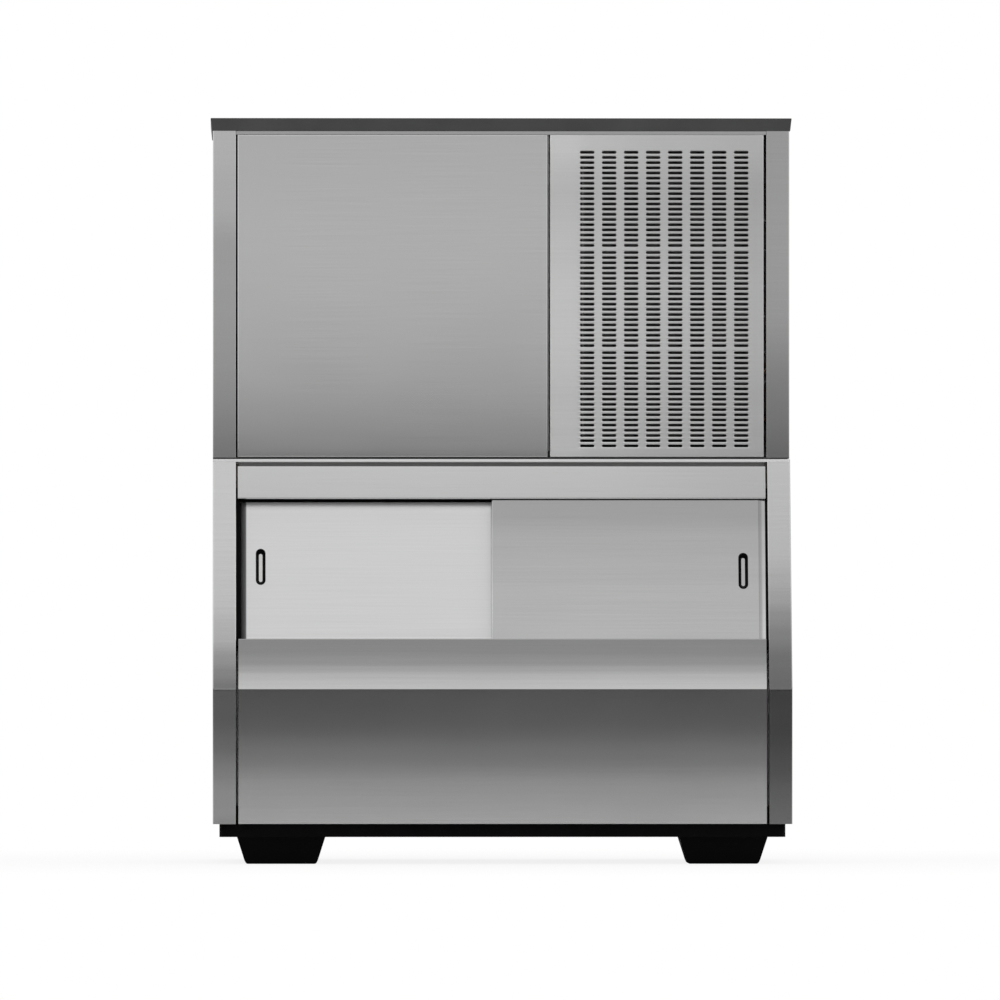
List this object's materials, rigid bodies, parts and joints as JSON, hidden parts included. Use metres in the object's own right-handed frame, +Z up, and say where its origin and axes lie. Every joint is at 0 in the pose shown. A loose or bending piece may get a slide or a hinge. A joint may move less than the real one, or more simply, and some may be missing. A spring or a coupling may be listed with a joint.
{
  "type": "cube ice machine",
  "caption": "Cube ice machine: an air-cooled ice-making head with a louvred panel, on an insulated storage bin with a sloping front and sliding doors.",
  "frame": {"origin": "at floor level, in the middle of the outline seen from above", "axes": "+X to the right seen from the front, +Y towards the back (the doors face -Y), +Z up"},
  "size_m": [1.23, 0.8, 1.576],
  "materials": {
    "steel": "brushed stainless steel",
    "steel_light": "satin stainless steel, light",
    "galvanised": "zinc-coated sheet",
    "lid_grey": "dark grey, satin",
    "black_plastic": "black moulded plastic",
    "black_metal": "black paint, satin",
    "rubber": "black rubber",
    "white_plastic": "white food-grade plastic",
    "grey_plastic": "dark grey plastic",
    "clear_hose": "translucent hose",
    "foam": "rigid polyurethane foam",
    "nickel": "nickel plate",
    "copper": "bare copper tube",
    "brass": "machined brass",
    "aluminium": "mill-finish aluminium"
  },
  "bodies": {
    "cabinet": {"head_base": "lid_grey", "head_left_side": "steel", "head_right_side": "steel", "head_back": "galvanised", "lid": "lid_grey", "top_rail": "steel", "front_panel": "steel", "louvre_panel": "steel", "bulkhead": "galvanised", "evaporator_grid": "nickel", "evaporator_coil": "copper", "evaporator_frame": "white_plastic", "water_trough": "white_plastic", "pump_housing": "grey_plastic", "distribution_tube": "white_plastic", "water_hoses": "clear_hose", "level_probe": "grey_plastic", "compressor": "black_metal", "compressor_mounts": "rubber", "condenser": "aluminium", "fan_shroud": "black_metal", "fan_motor": "grey_plastic", "control_box": "galvanised", "filter_drier": "copper", "discharge_line": "copper", "liquid_line": "copper", "suction_line": "copper", "expansion_valve": "brass", "hot_gas_valve": "brass", "hot_gas_line": "copper", "water_inlet_valve": "white_plastic", "head_drain": "brass", "power_bushing": "black_plastic", "rear_screws": "steel", "bin_left_side": "steel", "bin_right_side": "steel", "bin_back": "galvanised", "lower_front": "steel", "slope_band": "steel", "door_header": "steel", "top_frame": "steel", "top_gasket": "rubber", "insulation": "foam", "bin_liner": "white_plastic", "upper_track": "black_plastic", "lower_track": "black_plastic", "door_jambs": "black_plastic", "bin_drain": "brass", "base": "black_plastic", "feet": "black_plastic"},
    "left_door": {"left_door": "steel_light", "left_pull": "black_plastic", "door_glides_left": "white_plastic"},
    "right_door": {"right_door": "steel", "right_pull": "black_plastic", "door_glides_right": "white_plastic"},
    "curtain": {"water_curtain": "white_plastic"},
    "fan": {"fan_blade": "aluminium"},
    "pump_impeller": {"pump_rotor": "white_plastic"},
    "toggle": {"toggle_lever": "nickel"}
  },
  "joints": [
    {"name": "left_door_slide", "type": "slide", "parent": "cabinet", "child": "left_door", "axis": [1, 0, 0], "range_m": [0, 0.525]},
    {"name": "right_door_slide", "type": "slide", "parent": "cabinet", "child": "right_door", "axis": [-1, 0, 0], "range_m": [0, 0.525]},
    {"name": "curtain_swing", "type": "hinge", "parent": "cabinet", "child": "curtain", "pos_m": [-0.23, 0.034, 1.47], "axis": [-1, 0, 0], "range_deg": [0, 30]},
    {"name": "fan_spin", "type": "hinge", "parent": "cabinet", "child": "fan", "pos_m": [0.36, -0.1, 1.19], "axis": [0, 1, 0], "continuous": true},
    {"name": "pump_spin", "type": "hinge", "parent": "cabinet", "child": "pump_impeller", "pos_m": [-0.56, 0.11, 1.01], "axis": [0, 0, 1], "continuous": true},
    {"name": "toggle_rock", "type": "hinge", "parent": "cabinet", "child": "toggle", "pos_m": [0.135, -0.16, 1.33], "axis": [1, 0, 0], "range_deg": [-14, 14]}
  ]
}
